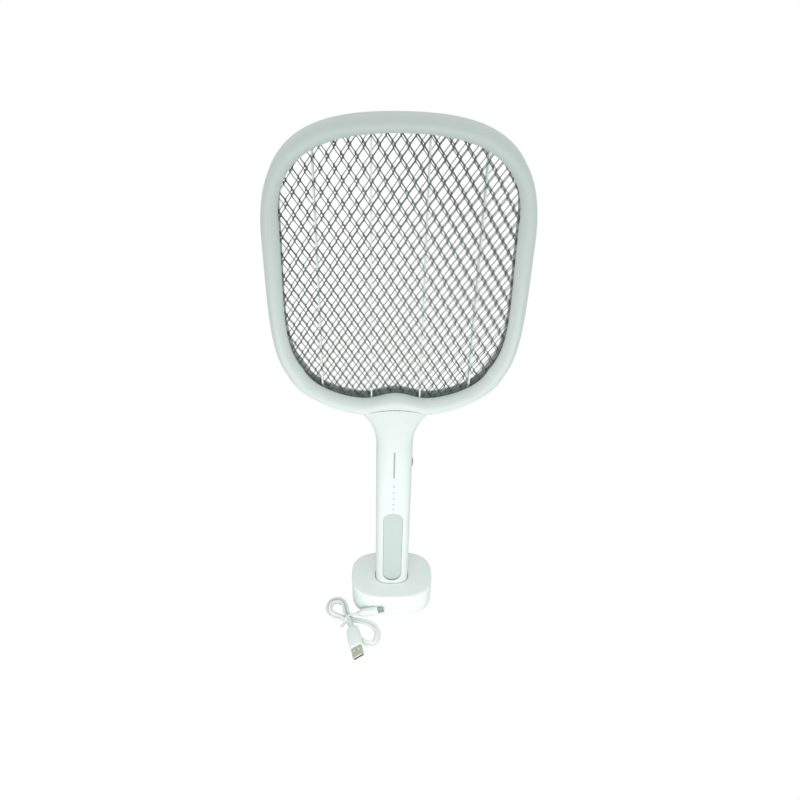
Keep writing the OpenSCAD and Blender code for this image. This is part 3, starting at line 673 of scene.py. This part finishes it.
# Bézier runs from the small plug to the USB plug: flat places, and heights
ROUTE = [
    ([(micro_tail.x, micro_tail.y), (-41.1, -38.4), (-43.6, -40), lane(LANE, 0.3)],
     [micro_tail.z, 7.3, 5.9, HIGH]),
    ([lane(LANE, 0.3), lane(LANE, 0), lane(LANE, -0.6), lane(LANE, -1)], [HIGH] * 4),
    # Outer loop on the left
    ([lane(LANE, -1), (-47.5, -30), (-51.5, -11.6), (-61.3, -11.6)], [HIGH, 5.4, 2.6, 1.6]),
    ([(-61.3, -11.6), (-67.8, -11.6), (-72.4, -18), (-72.4, -25)], [1.6] * 4),
    ([(-72.4, -25), (-72.4, -37.5), (-62, -40.5), lane(-LANE, -1)], [1.6, 1.6, 1.6, LOW]),
    tied(-LANE, LOW, -1),
    # Outer strand on the right
    ([lane(-LANE, 1), (-28.5, -82), (-11.3, -84), (-11.3, -62)], [LOW, 1.6, 1.6, 1.6]),
    ([(-11.3, -62), (-11.3, -42), (-31.5, -40.8), lane(LANE, 1)], [1.6, 1.6, 1.6, LOW]),
    tied(LANE, LOW, 1),
    # Second loop on the left, inside the first
    ([lane(LANE, -1), (-51, -30.5), (-51.5, -17.2), (-60.5, -17.2)], [LOW, 1.6, 1.6, 1.6]),
    ([(-60.5, -17.2), (-65.8, -17.2), (-68.4, -21), (-68.4, -25.5)], [1.6] * 4),
    ([(-68.4, -25.5), (-68.4, -34.5), (-58, -34), lane(0, -1)], [1.6, 1.6, 1.6, LOW]),
    tied(0, LOW, -1),
    # Inner strand on the right
    ([lane(0, 1), (-33, -43.5), (-15.2, -45.5), (-15.2, -60.5)], [LOW, 1.6, 1.6, 1.6]),
    ([(-15.2, -60.5), (-15.2, -77), (-29.5, -81), lane(0, 1)], [1.6, 1.8, 5.2, HIGH]),
    tied(0, HIGH, 1),
    # Third loop on the left, on top of the others
    ([lane(0, -1), (-54.5, -33), (-50.6, -18.6), (-60, -18.6)], [HIGH, 5.4, 5, 5]),
    ([(-60, -18.6), (-65.4, -18.6), (-68, -22.2), (-68, -27.5)], [5] * 4),
    ([(-68, -27.5), (-68, -36), (-60.5, -37), lane(-LANE, -1)], [5, 5, 5.3, HIGH]),
    tied(-LANE, HIGH, -1),
    ([lane(-LANE, 1), (-45.3, -47.4), (-43.6, -49.1), (usb_tail.x, usb_tail.y)],
     [HIGH, 5.9, 7.2, usb_tail.z]),
]
SMOOTHING = 20


def evenly(points, step):
    out, need = [points[0]], step
    for a, b in zip(points, points[1:]):
        span = (b - a).length
        while span >= need:
            a = a + (b - a) * (need / span)
            out.append(a)
            span = (b - a).length
            need = step
        need -= span
    return out + [points[-1]]


def lead_path():
    line = []
    for flat, heights in ROUTE:
        controls = [(*p, z) for p, z in zip(flat, heights)]
        line += run(controls, 48)
    line.append(usb_tail.copy())
    line = evenly(line, 1.2)
    for _ in range(SMOOTHING):
        line = ([line[0], line[1]]
                + [(line[i - 1] + line[i] * 2 + line[i + 1]) / 4 for i in range(2, len(line) - 2)]
                + [line[-2], line[-1]])
    return [LEAD_TURN @ p for p in evenly(line, 1.8)]


lead_line = lead_path()
lead_curve = bpy.data.curves.new("lead", "CURVE")
lead_curve.dimensions = "3D"
lead_curve.bevel_depth = LEAD_R * MM
lead_curve.bevel_resolution = 5
lead_curve.use_fill_caps = True
spline = lead_curve.splines.new("POLY")
spline.points.add(len(lead_line) - 1)
for point, at in zip(spline.points, lead_line):
    point.co = (*(at * MM), 1)
lead_curve.materials.append(LEAD)
lead = bpy.data.objects.new("lead", lead_curve)
bpy.context.scene.collection.objects.link(lead)
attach(lead, "dock")
USB_AT, MICRO_AT = LEAD_TURN @ USB_AT, LEAD_TURN @ MICRO_AT


def plug_body(name, at, axis, levels, node):
    """Overmould along a local axis: levels are (place, half width, half height, squareness)."""
    rings = []
    for s, w, h, n in levels:
        ring = squircle(w, h, n, 56)
        rings.append([(x, s, z) for x, z in ring] if axis == "Y" else [(s, z, x) for x, z in ring])
    obj = loft(name, rings, LEAD, "dock", at=at)
    crease(obj, 40)
    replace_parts(obj, node)
    return obj


def ribbed(start, stop, r0, r1, count):
    """Levels of a strain relief with shallow rings cut round it."""
    out = []
    for i in range(count):
        for share, cut_in in ((0.0, 0.0), (0.55, 0.0), (0.62, 0.45), (0.93, 0.45)):
            t = (i + share) / count
            r = r0 + (r1 - r0) * t - cut_in
            out.append((start + (stop - start) * t, max(r, 1.75), max(r, 1.75), 2.2))
    return out + [(stop, r1, r1, 2.0)]


usb_body = plug_body("usb_plug_overmould", USB_AT, "Y",
                     [(-17, 6.7, 3.3, 4), (-16.9, 7.1, 3.65, 4), (-16.5, 7.4, 3.9, 4), (-15.9, 7.5, 4, 3.8),
                      (-9, 7.5, 4, 3.8), (-3, 7.45, 4, 3.7), (2, 7.3, 3.95, 3.4), (6.2, 6.7, 3.8, 3),
                      (8.4, 5.5, 3.5, 2.6), (9.4, 3.6, 3.1, 2.3)] + ribbed(9.5, 14, 3.0, 2.1, 3),
                     "usb_plug_body")
micro_body = plug_body("micro_plug_overmould", MICRO_AT, "X",
                       [(10.5, 4.2, 2.7, 4), (10.4, 4.55, 3.05, 4), (10.0, 4.8, 3.3, 4), (9.4, 4.9, 3.4, 3.8),
                        (4, 4.9, 3.4, 3.8), (-3, 4.8, 3.4, 3.6), (-7, 4.4, 3.3, 3.2), (-9, 3.7, 3.1, 2.8),
                        (-10, 3.0, 2.9, 2.4)] + ribbed(-10.1, -14, 2.8, 2.1, 3), "micro_plug_body")


def tube_box(name, at, lo, hi, r, open_axis, mat, node):
    """Formed metal shell: a rounded box, hollow from its open end."""
    def section(grow, s):
        ring = []
        if open_axis == "Y":
            w, h = (hi[0] - lo[0]) / 2 - grow, (hi[2] - lo[2]) / 2 - grow
        else:
            w, h = (hi[2] - lo[2]) / 2 - grow, (hi[1] - lo[1]) / 2 - grow
        rr = max(0.1, r - grow)
        for q in range(4):
            cx = (w - rr) * (1 if q in (0, 3) else -1)
            cy = (h - rr) * (1 if q in (0, 1) else -1)
            for k in range(7):
                a = math.pi / 2 * (q + k / 6)
                x, y = cx + rr * math.cos(a), cy + rr * math.sin(a)
                ring.append((x, s, y) if open_axis == "Y" else (s, y, x))
        return ring
    near, far = (hi[1], lo[1]) if open_axis == "Y" else (lo[0], hi[0])
    out = 1 if far > near else -1
    levels = [(0, near), (0, far - out * 0.12), (0.08, far), (0.24, far), (0.3, far - out * 0.1),
              (0.3, near + out * 0.6)]
    obj = loft(name, [section(g, s) for g, s in levels], mat, "dock", at=at)
    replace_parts(obj, node)
    return obj


usb_shell = tube_box("usb_plug_metal", USB_AT, (-6, -29, -2.25), (6, -17, 2.25), 0.6, "Y", PLUG_STEEL,
                     "usb_plug_shell")
for x in (-2.9, 2.9):
    corners = [(x + e * 1.15, -21.6 + f * 1.2) for e, f in ((1, 1), (-1, 1), (-1, -1), (1, -1))]
    window = loft("tool", [[(u, v, z) for u, v in corners] for z in (-3, 3)], WHITE, None, at=USB_AT)
    cut(usb_shell, window)
crease(usb_shell, 45)
micro_shell = tube_box("micro_plug_metal", MICRO_AT, (10.5, -0.9, -3.45), (17, 0.9, 3.45), 0.5, "X",
                       MICRO_STEEL, "micro_plug_shell")
crease(micro_shell, 45)


def local_block(name, at, lo, hi, mat, round_by=0.2):
    corners = [(x, y, z) for z in (lo[2], hi[2]) for x, y in ((lo[0], lo[1]), (hi[0], lo[1]), (hi[0], hi[1]),
                                                              (lo[0], hi[1]))]
    obj = make(name, corners, loft_faces(2, 4), mat, "dock", at)
    soften(obj, round_by)
    return obj


usb_core = local_block("usb_plug_core", USB_AT, (-5.65, -28.2, -1.9), (5.65, -17.1, 0.3),
                       BLACK)
usb_pads = local_block("usb_plug_filler", USB_AT, (-5.6, -28.6, 0.35), (5.6, -17.1, 1.9),
                       LEAD)
micro_core = local_block("micro_plug_core", MICRO_AT, (10.6, -0.3, -2.6), (16.2, 0.3, 2.6), BLACK,
                         0.1)

# Strap round the strands, with its tail lying beside it
STRAP = 0.8
tie_frame = (LEAD_TURN @ Matrix.Translation((TIE_AT.x, TIE_AT.y, 0))
             @ Matrix.Rotation(math.radians(-38), 4, "Z"))
mid_z = STRAP + LANE
half_y, half_z = 5.0, LANE
tie_rings = []
for x, t in ((-1.5, 0.1), (-1.5, STRAP - 0.1), (-1.4, STRAP), (1.4, STRAP), (1.5, STRAP - 0.1), (1.5, 0.1),
             (1.4, 0), (-1.4, 0)):
    ring = []
    for q in range(4):
        cy = (half_y - 1.6) * (1 if q in (0, 3) else -1)
        cz = mid_z + (half_z - 1.6) * (1 if q in (0, 1) else -1)
        for k in range(9):
            a = math.pi / 2 * (q + k / 8)
            ring.append((x, cy + (1.6 + t) * math.cos(a), cz + (1.6 + t) * math.sin(a)))
    tie_rings.append(ring)
tie = loft("tie_strap", tie_rings, TIE, "dock", closed=True, at=tie_frame)
crease(tie, 50)
tail = local_block("tie_tail", tie_frame, (-1.5, -11.6, 0.05), (1.5, -5.4, STRAP), TIE, 0.2)
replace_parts(tie, "lead_tie")
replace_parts(lead, "lead_left_loops", "lead_waist", "lead_right_loops", "lead_usb_end", "lead_micro_end")

for node, width in (("rubber_feet", 0.5), ("switch_plate", 0.15), ("mode_slider", 0.25), ("front_ribs", 0.15),
                    ("rear_ribs", 0.15), ("battery_lights", 0.15), ("indicator_line", 0.12),
                    ("usb_socket", 0.2), ("handle_screws", 0.15), ("frame_screws", 0.15)):
    soften(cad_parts[node], width)


# ---------------------------------------------------------------- stage and light
FLOOR_HALF, FLOOR_DROP = 6, 0.0002  # metres; the drop keeps the floor just under the feet
HORIZON, OVERHEAD = 0.84, 0.67      # strength of the studio's light, level and from straight above
ground = bpy.data.meshes.new("floor")
corners = [(x * FLOOR_HALF, y * FLOOR_HALF, -FLOOR_DROP) for x, y in ((-1, -1), (1, -1), (1, 1), (-1, 1))]
ground.from_pydata(corners, [], [(0, 1, 2, 3)])
ground.materials.append(FLOOR)
floor = bpy.data.objects.new("floor", ground)
bpy.context.scene.collection.objects.link(floor)

# Camera rays see an unlit white floor that takes no shadow; other rays see a pale matte one
floor_nodes, floor_links, floor_shader = nodes_of(FLOOR)
seen = floor_nodes.new("ShaderNodeLightPath")
glow = floor_nodes.new("ShaderNodeEmission")
either = floor_nodes.new("ShaderNodeMixShader")
floor_links.new(seen.outputs["Is Camera Ray"], either.inputs[0])
floor_links.new(floor_shader.outputs["BSDF"], either.inputs[1])
floor_links.new(glow.outputs["Emission"], either.inputs[2])
floor_links.new(either.outputs["Shader"], floor_nodes["Material Output"].inputs["Surface"])

world = bpy.data.worlds.new("studio")
bpy.context.scene.world = world
world.use_nodes = True
sky = world.node_tree.nodes["Background"]
sky.inputs["Color"].default_value = (0.92, 1.0, 0.97, 1)
up = world.node_tree.nodes.new("ShaderNodeTexCoord")
height = world.node_tree.nodes.new("ShaderNodeSeparateXYZ")
fade = world.node_tree.nodes.new("ShaderNodeMapRange")
fade.inputs["From Min"].default_value = 0.1
fade.inputs["From Max"].default_value = 0.8
fade.inputs["To Min"].default_value = HORIZON
fade.inputs["To Max"].default_value = OVERHEAD
world.node_tree.links.new(up.outputs["Generated"], height.inputs[0])
world.node_tree.links.new(height.outputs["Z"], fade.inputs["Value"])
world.node_tree.links.new(fade.outputs["Result"], sky.inputs["Strength"])


def area(name, at, target, size, power_w):
    data = bpy.data.lights.new(name, "AREA")
    data.shape = "RECTANGLE"
    data.size, data.size_y = size[0] * MM, size[1] * MM
    data.energy = power_w
    obj = bpy.data.objects.new(name, data)
    obj.location = Vector(at) * MM
    obj.rotation_mode = "QUATERNION"
    obj.rotation_quaternion = (Vector(target) - Vector(at)).to_track_quat("-Z", "Y")
    obj.visible_camera = False
    bpy.context.scene.collection.objects.link(obj)
    return obj


area("key", (0, -290, 145), (0, 0, 65), (300, 180), 0.50)

bpy.context.scene.view_settings.view_transform = "Standard"
bpy.context.scene.view_settings.look = "None"

bpy.context.view_layer.update()
